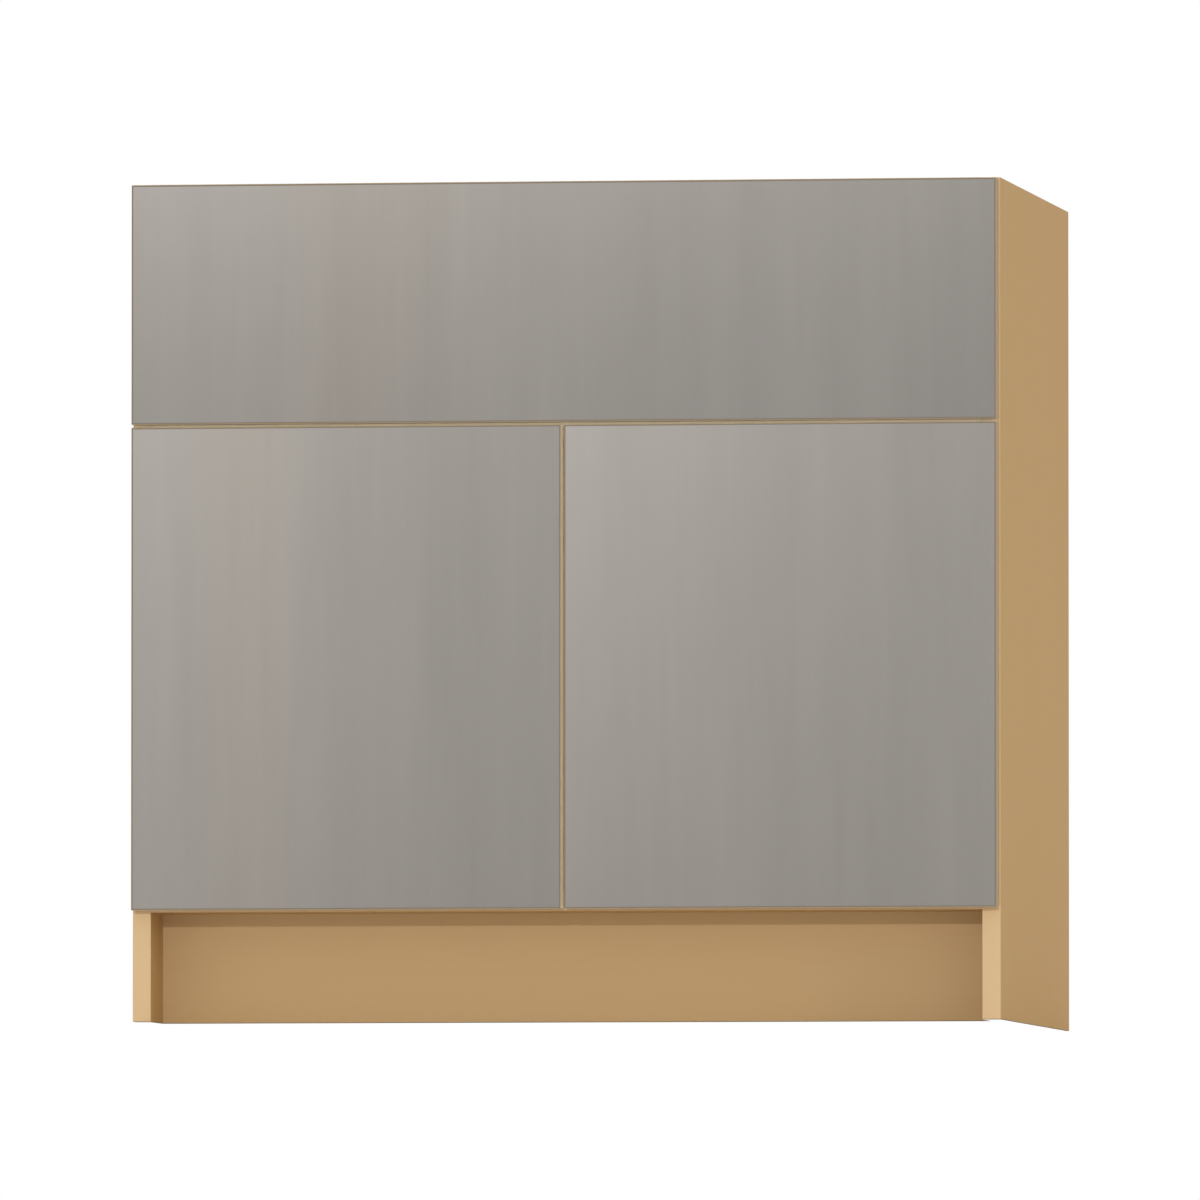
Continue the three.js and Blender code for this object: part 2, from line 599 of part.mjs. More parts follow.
function hinges() {
  const pieces = {
    mounting_plate: geometryFrom(mountingPlate()),
    arm: geometryFrom(hingeArm()),
    cup: geometryFrom(hingeCup()),
    outer_link: geometryFrom(outerLink()),
    inner_link: geometryFrom(innerLink()),
  };
  const sides = { left: -1, right: 1 };
  return Object.entries(sides).flatMap(([sideName, side]) => (
    Object.entries(HINGE_HEIGHTS).map(([level, height]) => {
      const hinge = new THREE.Group();
      hinge.position.set(side * SIDE_IN, CASE_FRONT, height);
      hinge.scale.x = -side;
      Object.entries(pieces).forEach(([piece, geometry]) => {
        hinge.add(part(`${sideName}_${level}_hinge_${piece}`, PLATED_STEEL, geometry));
      });
      return hinge;
    })
  ));
}

// ------------------------------------------------------------------ the cabinet

const cabinet = new THREE.Group();
cabinet.add(
  sidePanel('left_side_panel', -1),
  sidePanel('right_side_panel', 1),
  sideEdgeBand('left_side_edge_band', -1),
  sideEdgeBand('right_side_edge_band', 1),
  ...deckParts(),
  backPanel(),
  ...rearRails(),
  frontRail('top_front_rail', CABINET_HEIGHT, [SCREW_PLACES.upper_left, SCREW_PLACES.upper_right]),
  frontRail('middle_front_rail', MIDDLE_RAIL_TOP, [SCREW_PLACES.lower_left, SCREW_PLACES.lower_right]),
  ...baseBoards(),
  ...cornerBrackets(),
  ...falseFront(),
  ...falseFrontFixings(),
  ...door('left_door', -1),
  ...door('right_door', 1),
  ...doorBumpers('left_door', -1),
  ...doorBumpers('right_door', 1),
  ...hinges(),
);

export default cabinet;
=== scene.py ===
"""Sink base cabinet: the finish of its boards, fronts, hinges and fixings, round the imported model."""

import json
import math
from functools import partial

import bmesh
import bpy
from mathutils import Matrix, Vector

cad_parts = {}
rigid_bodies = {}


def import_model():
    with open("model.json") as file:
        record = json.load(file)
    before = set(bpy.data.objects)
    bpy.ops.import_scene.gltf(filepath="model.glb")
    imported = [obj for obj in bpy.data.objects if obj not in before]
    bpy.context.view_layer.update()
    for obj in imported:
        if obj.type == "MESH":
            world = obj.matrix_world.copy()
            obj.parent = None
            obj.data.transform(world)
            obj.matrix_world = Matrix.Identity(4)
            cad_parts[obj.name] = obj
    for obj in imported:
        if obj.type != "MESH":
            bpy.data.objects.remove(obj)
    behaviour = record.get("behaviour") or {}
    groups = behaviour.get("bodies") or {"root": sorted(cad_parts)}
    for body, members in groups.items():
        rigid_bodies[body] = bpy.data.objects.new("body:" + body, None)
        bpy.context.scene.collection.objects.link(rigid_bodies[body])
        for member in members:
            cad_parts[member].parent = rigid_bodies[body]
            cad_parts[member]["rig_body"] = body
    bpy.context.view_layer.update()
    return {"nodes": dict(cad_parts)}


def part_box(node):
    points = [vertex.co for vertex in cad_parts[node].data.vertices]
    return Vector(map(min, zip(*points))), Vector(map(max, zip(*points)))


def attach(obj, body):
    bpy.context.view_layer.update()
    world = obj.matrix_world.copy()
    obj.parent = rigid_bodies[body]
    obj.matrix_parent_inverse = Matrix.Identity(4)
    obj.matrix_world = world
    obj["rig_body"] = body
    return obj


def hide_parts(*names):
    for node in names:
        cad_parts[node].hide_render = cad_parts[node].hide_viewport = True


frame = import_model()

MM = 0.001
X, Y, Z = range(3)
UP = (0.0, 0.0, 1.0)
REARWARD = (0.0, 1.0, 0.0)
LEFTWARD = (-1.0, 0.0, 0.0)
SIDES = {"left": -1, "right": 1}  # each with its outward way along X
ENDS = {"front": 1, "rear": -1}  # each with its way into the case along Y
LEVELS = ("upper", "lower")
FRONTS = ("false_front", "left_door", "right_door")


# ---------------------------------------------------------------- colours

def tint(red, green, blue):
    """A colour given on the 0 to 255 scale of a screen, as the linear colour that a shader takes."""
    def linear(value):
        share = value / 255
        return share / 12.92 if share <= 0.04045 else ((share + 0.055) / 1.055) ** 2.4
    return (linear(red), linear(green), linear(blue), 1.0)


TAN_PRINT = tint(194, 157, 105)  # faces of the case boards
TAN_PRINT_DARK = tint(183, 147, 95)  # fibres in the print
KICK_PRINT_PAINTED_LIGHTER = tint(212, 180, 134)  # the case print painted lighter, to make up for the shade of the deck that the board stands in
KICK_PRINT_PAINTED_LIGHTER_DARK = tint(201, 169, 123)
RAIL_PRINT = tint(208, 182, 143)  # rail behind the long gap between the fronts
RAIL_PRINT_DARK = tint(197, 171, 131)
PALE_EDGE = tint(225, 192, 146)
PALE_EDGE_DARK = tint(213, 179, 132)
CHIP_LIGHT = tint(206, 176, 132)
CHIP_DARK = tint(138, 104, 66)
HARDBOARD = tint(139, 103, 70)
HARDBOARD_DARK = tint(112, 80, 52)
TAUPE = tint(152, 147, 141)  # laminate of the fronts, at the middle of each
TAUPE_WARM = tint(154, 147, 139)
TAUPE_LINE = tint(124, 115, 101)  # glue line round the laminate
FRONT_TAN = tint(172, 147, 116)  # edge band of the fronts
FRONT_TAN_DARK = tint(163, 138, 107)
NICKEL = tint(196, 196, 194)
NICKEL_DULL = tint(168, 167, 164)
IVORY = tint(222, 217, 204)
IVORY_SHADE = tint(212, 206, 191)
CLEAR_GREY = tint(226, 229, 227)
FLOOR_WHITE = tint(250, 250, 249)
WHITE = (1.0, 1.0, 1.0, 1.0)


# ---------------------------------------------------------------- shader maths

MIX_FIRST, MIX_SECOND, MIX_RESULT = 6, 7, 2  # colour sockets of a Mix node


def add_node(tree, kind, settings=None, sockets=None):
    """Adds a node: first its settings, then the values or links of its sockets."""
    made = tree.nodes.new(kind)
    for name, value in (settings or {}).items():
        setattr(made, name, value)
    for name, value in (sockets or {}).items():
        if isinstance(value, bpy.types.NodeSocket):
            tree.links.new(value, made.inputs[name])
        else:
            made.inputs[name].default_value = value
    return made


class Field:
    """A value that varies over a surface, with Python's arithmetic."""

    def __init__(self, shader, socket):
        self.shader = shader
        self.socket = socket

    def __add__(self, other):
        return self.shader.sum("ADD", self, other)

    __radd__ = __add__

    def __sub__(self, other):
        return self.shader.sum("SUBTRACT", self, other)

    def __rsub__(self, other):
        return self.shader.sum("SUBTRACT", other, self)

    def __mul__(self, other):
        return self.shader.sum("MULTIPLY", self, other)

    __rmul__ = __mul__

    def __pow__(self, other):
        return self.shader.sum("POWER", self, other)

    def __gt__(self, other):
        return self.shader.sum("GREATER_THAN", self, other)

    def __abs__(self):
        return self.shader.sum("ABSOLUTE", self, 0.0)


class Shader:
    """The nodes of one material, or of the world."""

    def __init__(self, tree):
        self.tree = tree
        tree.nodes.clear()

    def node(self, kind, settings=None, sockets=None, out=0):
        """Adds a node whose sockets may take fields, and gives one of its outputs as a field."""
        plain = {name: getattr(value, "socket", value) for name, value in (sockets or {}).items()}
        made = add_node(self.tree, kind, settings, plain)
        return Field(self, made.outputs[out]) if made.outputs else None

    def sum(self, operation, a, b):
        return self.node("ShaderNodeMath", {"operation": operation}, {0: a, 1: b})

    def larger(self, a, b):
        return self.sum("MAXIMUM", a, b)

    def smaller(self, a, b):
        return self.sum("MINIMUM", a, b)

    def here(self, scale=(1, 1, 1), shift=(0, 0, 0)):
        """Object coordinates, stretched and then shifted."""
        place = self.node("ShaderNodeTexCoord", out="Object")
        return self.node("ShaderNodeMapping", {}, {"Vector": place, "Scale": scale, "Location": shift})

    def within(self, low, high):
        """Coordinates that run from -1 to 1 between two corners, one field for each axis."""
        size = high - low
        middle = (high + low) / 2
        scale = [2 / length for length in size]
        shift = [-centre * stretch for centre, stretch in zip(middle, scale)]
        vector = self.here(scale, shift)
        return [self.node("ShaderNodeSeparateXYZ", {}, {0: vector}, out=axis) for axis in (X, Y, Z)]

    def noise(self, scale, detail=2.0, roughness=0.5, shift=(0, 0, 0)):
        """Noise from about -1 to 1, with a number of grains a metre along each axis."""
        settings = {"noise_dimensions": "3D"}
        vector = self.here(scale, shift)
        sockets = {"Vector": vector, "Scale": 1.0, "Detail": detail, "Roughness": roughness}
        return self.node("ShaderNodeTexNoise", settings, sockets) * 2.0 - 1.0

    def chips(self, size):
        """One random value for each flake of chipboard."""
        grains = 1 / size
        vector = self.here((grains, grains, grains))
        flake = self.node("ShaderNodeTexVoronoi", {}, {"Vector": vector, "Scale": 1.0}, out="Color")
        return self.node("ShaderNodeSeparateXYZ", {}, {0: flake}, out=X)

    def ease(self, value, start, end):
        """0 up to start and 1 from end on, with a soft step between."""
        settings = {"interpolation_type": "SMOOTHSTEP"}
        sockets = {"Value": value, "From Min": start, "From Max": end}
        return self.node("ShaderNodeMapRange", settings, sockets)

    def mix(self, share, a, b):
        sockets = {0: share, MIX_FIRST: a, MIX_SECOND: b}
        return self.node("ShaderNodeMix", {"data_type": "RGBA"}, sockets, out=MIX_RESULT)

    def lit(self, colour, level):
        """A colour made brighter or darker by a field."""
        colour = colour if isinstance(colour, Field) else colour[:3]
        return self.node("ShaderNodeVectorMath", {"operation": "SCALE"}, {0: colour, "Scale": level})

    def relief(self, height, depth, strength=1.0):
        sockets = {"Height": height, "Distance": depth, "Strength": strength}
        return self.node("ShaderNodeBump", {}, sockets)

    def surface(self, **sockets):
        """The finish itself, joined to the output."""
        named = {name.replace("_", " "): value for name, value in sockets.items()}
        shine = self.node("ShaderNodeBsdfPrincipled", {}, named)
        self.node("ShaderNodeOutputMaterial", {}, {"Surface": shine})


def new_material(name):
    """A material, and the shader that its nodes go into."""
    material = bpy.data.materials.new(name)
    material.use_nodes = True
    return material, Shader(material.node_tree)


# ---------------------------------------------------------------- finishes

# Each front is painted lighter at its upper left and darker at its lower right, a painted sheen: shares of
# its tone along the width, along the height, along both, and along the square of either.
SHEEN_ACROSS = -0.056
SHEEN_UP = 0.057
SHEEN_BOTH = -0.018
SHEEN_SQUARED = 0.011
# Shares of the tone that the grain moves, from its broadest part to its finest.
TONE_BANDS = 0.040
TONE_FIGURE = 0.030
TONE_STREAKS = 0.014
TONE_FIBRES = 0.007
SCREEN_GAMMA = 2.27  # a share of the tone that a screen shows, turned into light
WARMTH = {"false_front": 0.75, "left_door": 1.0, "right_door": 0.1}  # of the warmer band in a front
WARM_PLACE = -0.45  # middle of that band, across a front
WARM_CORE = 0.05
WARM_REACH = 0.34
GLUE_LINE = 0.9 * MM  # darker rim of the laminate, inside the edge band

FLAKE = 1.6 * MM  # width of a flake in the chipboard
CUT_SKIN = 0.2 * MM  # what lies this near to the cut end of a board shows chipboard
REAR_SHARE = 0.9  # of the way from the middle of the back panel to its rear face


def front_laminate(front):
    """Grey-taupe laminate with a faint upright grain."""
    low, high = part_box(f"{front}_face")
    material, s = new_material(f"{front}_laminate")
    across, _, up = s.within(low, high)
    shift = (high.x * 3, 0, high.z * 5)  # so that no two fronts have the same grain
    bands = s.noise((5, 1, 0.9), 1.0, 0.5, shift)
    figure = s.noise((26, 1, 2.2), 2.0, 0.6, shift)
    streaks = s.noise((110, 1, 5), 2.0, 0.6, shift)
    fibres = s.noise((900, 1, 26), 2.0, 0.6, shift)
    patches = s.noise((9, 1, 5), 2.0, 0.5, shift)

    # painted sheen: each front painted lighter at its upper left and darker at its lower right; the grain
    # is added after it
    tone = 1.0 + SHEEN_ACROSS * across + SHEEN_UP * up + SHEEN_BOTH * across * up
    tone = tone + SHEEN_SQUARED * (across * across + up * up)
    tone = tone + TONE_BANDS * bands + TONE_FIGURE * figure + TONE_STREAKS * streaks + TONE_FIBRES * fibres
    near_band = 1.0 - s.ease(abs(across - WARM_PLACE), WARM_CORE, WARM_REACH)
    warm = WARMTH[front] * near_band * (0.75 + 0.5 * patches)
    colour = s.lit(s.mix(warm, TAUPE, TAUPE_WARM), tone ** SCREEN_GAMMA)

    half = (high - low) / 2
    inset = s.smaller((1.0 - abs(across)) * half.x, (1.0 - abs(up)) * half.z)
    line = 1.0 - s.ease(inset, 0.7 * GLUE_LINE, 1.3 * GLUE_LINE)
    s.surface(
        Base_Color=s.mix(line, colour, TAUPE_LINE),
        Roughness=0.52 + 0.05 * streaks + 0.03 * fibres,
        Specular_IOR_Level=0.32,
        Normal=s.relief(streaks + fibres, 0.02 * MM, 0.5),
    )
    return material


def front_edging():
    """Tan band round a front."""
    material, s = new_material("front_edging")
    grain = s.noise((60, 400, 60), 3.0)
    s.surface(
        Base_Color=s.mix(0.5 + 0.5 * grain, FRONT_TAN_DARK, FRONT_TAN),
        Roughness=0.5 + 0.06 * grain,
        Specular_IOR_Level=0.12,
        Normal=s.relief(grain, 0.02 * MM, 0.5),
    )
    return material


def grain_scale(along, fine, coarse):
    """Grains a metre: few along the grain and many across it."""
    return [coarse if axis == along else fine for axis in (X, Y, Z)]


def melamine(node, along, ground=TAN_PRINT, fibre=TAN_PRINT_DARK):
    """Tan printed board. Its cut edges show chipboard."""
    low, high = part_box(node)
    size = high - low
    thin = min((X, Y, Z), key=lambda axis: size[axis])
    material, s = new_material(f"{node}_melamine")
    place = s.within(low, high)
    shift = (low.x * 7, low.y * 5, low.z * 3)  # so that no two boards have the same grain
    fibres = s.noise(grain_scale(along, 700, 18), 3.0, 0.6, shift)
    figure = s.noise(grain_scale(along, 26, 1.6), 3.0, 0.5, shift)
    pores = s.ease(s.noise(grain_scale(along, 1300, 90), 1.0, 0.4, shift), 0.45, 0.8)
    printed = s.mix(0.35 + 0.22 * fibres + 0.16 * figure + 0.25 * pores, ground, fibre)
    printed = s.lit(printed, 1.0 + 0.012 * figure)

    flake = s.chips(FLAKE)
    crumb = s.noise((900, 900, 900), 3.0)
    chipboard = s.mix(0.75 * flake + 0.2 * crumb, CHIP_LIGHT, CHIP_DARK)
    flat = [axis for axis in (X, Y, Z) if axis != thin]
    limits = [1.0 - 2 * CUT_SKIN / size[axis] for axis in flat]
    cut = s.larger(abs(place[flat[0]]) > limits[0], abs(place[flat[1]]) > limits[1])
    s.surface(
        Base_Color=s.mix(cut, printed, chipboard),
        Roughness=0.58 + 0.05 * fibres + 0.3 * cut,
        Specular_IOR_Level=0.05,
        Normal=s.relief(fibres * 0.4 - pores + cut * (2.5 * flake + crumb), 0.03 * MM, 0.6),
    )
    return material


def hardboard(node):
    """Back panel: printed tan inside the case, and bare brown hardboard towards the wall."""
    low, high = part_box(node)
    material, s = new_material("hardboard")
    _, depth, _ = s.within(low, high)
    fibres = s.noise(grain_scale(Z, 700, 18), 3.0, 0.6)
    printed = s.mix(0.35 + 0.25 * fibres, TAN_PRINT, TAN_PRINT_DARK)
    mesh = s.noise((600, 600, 600), 2.0, 0.7)
    clouds = s.noise((9, 9, 9), 4.0)
    bare = s.mix(0.45 + 0.4 * mesh + 0.25 * clouds, HARDBOARD, HARDBOARD_DARK)
    rear = depth > REAR_SHARE
    s.surface(
        Base_Color=s.mix(rear, printed, bare),
        Roughness=0.55 + 0.3 * rear,
        Specular_IOR_Level=0.3,
        Normal=s.relief(fibres * 0.3 + rear * mesh * 3.0, 0.05 * MM, 0.6),
    )
    return material


def pale_edging(along):
    """Pale tan band on the front edges of the case."""
    material, s = new_material(f"pale_edging_{'xyz'[along]}")
    fibres = s.noise(grain_scale(along, 800, 22), 3.0, 0.6)
    figure = s.noise(grain_scale(along, 60, 3), 2.0)
    s.surface(
        Base_Color=s.mix(0.35 + 0.25 * fibres + 0.2 * figure, PALE_EDGE, PALE_EDGE_DARK),
        Roughness=0.5 + 0.06 * fibres,
        Specular_IOR_Level=0.32,
        Normal=s.relief(fibres, 0.02 * MM, 0.6),
    )
    return material


def plated_steel(name, roughness):
    """Nickel plate over pressed steel, a little uneven."""
    material, s = new_material(name)
    brush = s.noise((1500, 150, 900), 3.0, 0.6)
    clouds = s.noise((120, 120, 120), 3.0)
    s.surface(
        Base_Color=s.mix(0.4 + 0.25 * clouds + 0.2 * brush, NICKEL, NICKEL_DULL),
        Metallic=1.0,
        Roughness=roughness + 0.06 * clouds + 0.05 * brush,
        Normal=s.relief(brush, 0.01 * MM, 0.4),
    )
    return material


def moulded_plastic():
    """Ivory plastic with a fine mould texture, for the brackets and spacers."""
    material, s = new_material("ivory_plastic")
    clouds = s.noise((60, 60, 60), 3.0)
    spark = s.noise((2200, 2200, 2200), 1.0)
    s.surface(
        Base_Color=s.mix(0.5 + 0.35 * clouds, IVORY, IVORY_SHADE),
        Roughness=0.48 + 0.08 * clouds,
        Specular_IOR_Level=0.4,
        Normal=s.relief(spark, 0.02 * MM, 0.6),
    )
    return material


def clear_rubber():
    """Nearly clear soft rubber, for the door bumpers."""
    material, s = new_material("clear_rubber")
    haze = s.noise((500, 500, 500), 2.0)
    s.surface(
        Base_Color=s.mix(0.5 + 0.3 * haze, CLEAR_GREY, WHITE),
        Roughness=0.28 + 0.08 * haze,
        Transmission_Weight=0.7,
        IOR=1.45,
    )
    return material


# ---------------------------------------------------------------- making pieces

CREASE = math.radians(35)  # edges sharper than this are corners, the rest belong to a round wall
FLAT = math.radians(1)  # triangles that meet at less than this are one face
SAME_PLACE = 0.001 * MM
BAND_EASE = 0.3 * MM  # rounding of an edge band's corners


def piece_from(name, bm, material, body):
    """A mesh that moves with a body. It sits at the origin, and its place is in its mesh."""
    mesh = bpy.data.meshes.new(name)
    bm.to_mesh(mesh)
    bm.free()
    piece = bpy.data.objects.new(name, mesh)
    bpy.context.scene.collection.objects.link(piece)
    mesh.materials.append(material)
    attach(piece, body)
    return piece


def even_shading(piece):
    """Smooth shading that leaves broad flat faces flat."""
    for polygon in piece.data.polygons:
        polygon.use_smooth = True
    shading = piece.modifiers.new("even shading", "WEIGHTED_NORMAL")
    shading.keep_sharp = True


def eased_copy(node, material, radius):
    """Stands for a CAD node with its corners rounded over."""
    bm = bmesh.new()
    bm.from_mesh(frame["nodes"][node].data)
    bmesh.ops.remove_doubles(bm, verts=bm.verts, dist=SAME_PLACE)
    bmesh.ops.dissolve_limit(bm, angle_limit=FLAT, verts=bm.verts, edges=bm.edges)
    corners = [edge for edge in bm.edges if edge.is_manifold and edge.calc_face_angle(0) > CREASE]
    bmesh.ops.bevel(bm, geom=corners, offset=radius, segments=2, profile=0.5, affect="EDGES",
                    clamp_overlap=True)
    piece = piece_from(f"{node}_finished", bm, material, frame["nodes"][node]["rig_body"])
    even_shading(piece)
    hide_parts(node)


def keep(node, material):
    """Gives a CAD node its finish."""
    frame["nodes"][node].data.materials.clear()
    frame["nodes"][node].data.materials.append(material)


def dressed(node):
    """What shows of a CAD node: its rounded copy if it has one, or else the node itself."""
    return bpy.data.objects.get(f"{node}_finished") or frame["nodes"][node]


def ring(bm, radius, height, steps):
    """A level circle of points round the origin."""
    turns = [2 * math.pi * step / steps for step in range(steps)]
    return [bm.verts.new((radius * math.cos(turn), radius * math.sin(turn), height)) for turn in turns]


def wall(bm, lower, upper):
    """Faces between two rings of the same count."""
    count = len(lower)
    for i in range(count):
        bm.faces.new((lower[i], lower[(i + 1) % count], upper[(i + 1) % count], upper[i]))


def lathed(bm, profile, steps):
    """Rings from (radius, height) pairs, joined by walls, with a closed first ring."""
    rings = [ring(bm, radius, height, steps) for radius, height in profile]
    for lower, upper in zip(rings, rings[1:]):
        wall(bm, lower, upper)
    bm.faces.new(list(reversed(rings[0])))
    return rings


# ---------------------------------------------------------------- fixings

# Screws and rivets are made with a head of radius 1 and its seat at 0, and scaled where they go.
HEAD_STEPS = 24
HEAD_PROFILE = [(1.0, 0.0), (1.0, 0.16), (0.95, 0.32), (0.84, 0.44), (0.7, 0.5)]
RECESS_ARM = 0.52
RECESS_HALF = 0.13
RECESS_DEPTH = 0.36
RECESS_TAPER = 0.5
SHANK_RADIUS = 0.42
SHANK_POINT = 1.2  # length of the point
SHANK_TIP = 0.05
RIVET_PROFILE = [(1.0, 0.0), (0.97, 0.14), (0.86, 0.28), (0.66, 0.38),
                 (0.42, 0.42), (0.3, 0.36), (0.14, 0.33)]
RANDOM_MOST, RANDOM_NUMBER = 3, 1  # sockets of a Random Value node: its upper limit and its number


def source_shape(name, bm):
    """A shape for the fixings tree to repeat. It isn't in the scene itself."""
    bmesh.ops.recalc_face_normals(bm, faces=bm.faces)
    mesh = bpy.data.meshes.new(name)
    bm.to_mesh(mesh)
    bm.free()
    for polygon in mesh.polygons:
        polygon.use_smooth = len(polygon.vertices) == 4
    return bpy.data.objects.new(name, mesh)


def cross_outline(scale, height):
    """The twelve corners of a cross."""
    arm = RECESS_ARM * scale
    half = RECESS_HALF * scale
    quarter = [(arm, -half), (arm, half), (half, half)]
    points = []
    for turn in range(4):
        spin = Matrix.Rotation(turn * math.pi / 2, 3, "Z")
        points += [spin @ Vector((x, y, height)) for x, y in quarter]
    return points


def screw_shape(name, shank=0.0):
    """A pan-headed screw with a cross recess, its head up, and with a pointed shank if it shows."""
    bm = bmesh.new()
    profile = list(HEAD_PROFILE)
    if shank:
        point = [(SHANK_TIP, -shank), (SHANK_RADIUS, SHANK_POINT - shank), (SHANK_RADIUS, 0.0)]
        profile = point + profile
    rim = lathed(bm, profile, HEAD_STEPS)[-1]
    top = HEAD_PROFILE[-1][1]
    mouth = [bm.verts.new(corner) for corner in cross_outline(1.0, top)]
    floor = [bm.verts.new(corner) for corner in cross_outline(RECESS_TAPER, top - RECESS_DEPTH)]
    wall(bm, floor, mouth)
    bm.faces.new(floor)
    loops = [bm.edges.get((a, b)) or bm.edges.new((a, b))
             for loop in (rim, mouth) for a, b in zip(loop, loop[1:] + loop[:1])]
    bmesh.ops.triangle_fill(bm, use_beauty=True, edges=loops)
    return source_shape(name, bm)


def rivet_shape(name):
    """A domed rivet head with a small centre dimple."""
    bm = bmesh.new()
    rim = lathed(bm, RIVET_PROFILE, HEAD_STEPS)[-1]
    bm.faces.new(rim)
    return source_shape(name, bm)


def fixings_tree():
    """Puts a shape on every point, faced along the point's own direction and turned at random."""
    tree = bpy.data.node_groups.new("fixings", "GeometryNodeTree")
    inputs = {
        "Places": "NodeSocketGeometry",
        "Shape": "NodeSocketObject",
        "Head radius": "NodeSocketFloat",
        "Seed": "NodeSocketInt",
        "Finish": "NodeSocketMaterial",
    }
    for name, kind in inputs.items():
        tree.interface.new_socket(name, in_out="INPUT", socket_type=kind)
    tree.interface.new_socket("Fixings", in_out="OUTPUT", socket_type="NodeSocketGeometry")

    node = partial(add_node, tree)
    given = node("NodeGroupInput").outputs
    facing = node("GeometryNodeInputNamedAttribute", {"data_type": "FLOAT_VECTOR"}, {"Name": "facing"})
    aimed = node("FunctionNodeAlignRotationToVector", {"axis": "Z"}, {"Vector": facing.outputs[0]})
    spin = node("FunctionNodeRandomValue", {"data_type": "FLOAT"},
                {RANDOM_MOST: math.tau, "Seed": given["Seed"]})
    twist = node("FunctionNodeAxisAngleToRotation", {},
                 {"Axis": UP, "Angle": spin.outputs[RANDOM_NUMBER]})
    turned = node("FunctionNodeRotateRotation", {"rotation_space": "LOCAL"},
                  {"Rotation": aimed.outputs[0], "Rotate By": twist.outputs[0]})
    shape = node("GeometryNodeObjectInfo", {}, {"Object": given["Shape"]})
    placed = node("GeometryNodeInstanceOnPoints", {}, {
        "Points": given["Places"],
        "Instance": shape.outputs["Geometry"],
        "Rotation": turned.outputs[0],
        "Scale": given["Head radius"],
    })
    real = node("GeometryNodeRealizeInstances", {}, {0: placed.outputs[0]})
    finished = node("GeometryNodeSetMaterial", {},
                    {"Geometry": real.outputs[0], "Material": given["Finish"]})
    node("NodeGroupOutput", {}, {0: finished.outputs[0]})
    return tree


FIXINGS = fixings_tree()
SCREW = screw_shape("screw")
RIVET = rivet_shape("rivet")


def fixings(name, places, shape, radius, material, body, seed, stands_for=()):
    """One mesh of all the fixings of a kind on a body. places holds (point, direction) pairs."""
    mesh = bpy.data.meshes.new(name)
    mesh.from_pydata([point for point, _ in places], [], [])
    facing = mesh.attributes.new("facing", "FLOAT_VECTOR", "POINT")
    for entry, (_, direction) in zip(facing.data, places):
        entry.vector = direction
    piece = bpy.data.objects.new(name, mesh)
    bpy.context.scene.collection.objects.link(piece)
    modifier = piece.modifiers.new("fixings", "NODES")
    modifier.node_group = FIXINGS
    values = {"Shape": shape, "Head radius": radius, "Seed": seed, "Finish": material}
    for socket in FIXINGS.interface.items_tree:
        if socket.name in values:
            modifier[socket.identifier] = values[socket.name]
    evaluated = piece.evaluated_get(bpy.context.evaluated_depsgraph_get())
    result = bpy.data.meshes.new_from_object(evaluated)
    piece.modifiers.clear()
    piece.data = result
    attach(piece, body)
    if stands_for:
        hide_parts(*stands_for)


# ---------------------------------------------------------------- case

BRACKET_EASE = 0.6 * MM
BRACKET_WALL = 3 * MM
BRACKET_SCREWS = 2  # through each flange
BRACKET_SCREW_OUT = 22 * MM  # first screw, from the corner along a flange
BRACKET_SCREW_STEP = 24 * MM
BRACKET_SCREW_DROP = 12 * MM
BRACKET_SCREW_RADIUS = 3.6 * MM


def dress_case():
    """Boards, back panel and edge bands."""
    upright = ("left_side_panel", "right_side_panel", "centre_base_rail")
    level = ("bottom_panel", "rear_top_rail", "rear_lower_rail", "top_front_rail", "rear_base_rail")
    for node in upright:
        keep(node, melamine(node, Z))
    for node in level:
        keep(node, melamine(node, X))
    keep("middle_front_rail", melamine("middle_front_rail", X, RAIL_PRINT, RAIL_PRINT_DARK))
    # the kick board gets the case print painted lighter, against the shade of the deck
    keep("toe_kick_board", melamine("toe_kick_board", X, KICK_PRINT_PAINTED_LIGHTER, KICK_PRINT_PAINTED_LIGHTER_DARK))
    keep("back_panel", hardboard("back_panel"))
    upright_band = pale_edging(Z)
    for side in SIDES:
        eased_copy(f"{side}_side_edge_band", upright_band, BAND_EASE)
    eased_copy("bottom_edge_band", pale_edging(X), BAND_EASE)


def bracket_screws():
    """Screws through both flanges, into the side panel and into the rail or the back."""
    places = []
    for side, outward in SIDES.items():
        for end, inward in ENDS.items():
            low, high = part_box(f"{end}_{side}_corner_bracket")
            corner_x = high.x if outward > 0 else low.x
            corner_y = low.y if inward > 0 else high.y
            height = high.z - BRACKET_SCREW_DROP
            for count in range(BRACKET_SCREWS):
                along = BRACKET_SCREW_OUT + count * BRACKET_SCREW_STEP
                on_panel = (corner_x - outward * BRACKET_WALL, corner_y + inward * along, height)
                on_rail = (corner_x - outward * along, corner_y + inward * BRACKET_WALL, height)
                places.append((on_panel, (-outward, 0, 0)))
                places.append((on_rail, (0, inward, 0)))
    return places


def dress_brackets(plastic, steel):
    """The four corner brackets of the open top."""
    for end in ENDS:
        for side in SIDES:
            eased_copy(f"{end}_{side}_corner_bracket", plastic, BRACKET_EASE)
    fixings("corner_bracket_screws", bracket_screws(), SCREW, BRACKET_SCREW_RADIUS, steel, "carcass",
            seed=3)


# ---------------------------------------------------------------- fronts

BUMPER_STEPS = 24
BUMPER_RINGS = 7
FRONT_SCREW_HEAD = 2.4 * MM


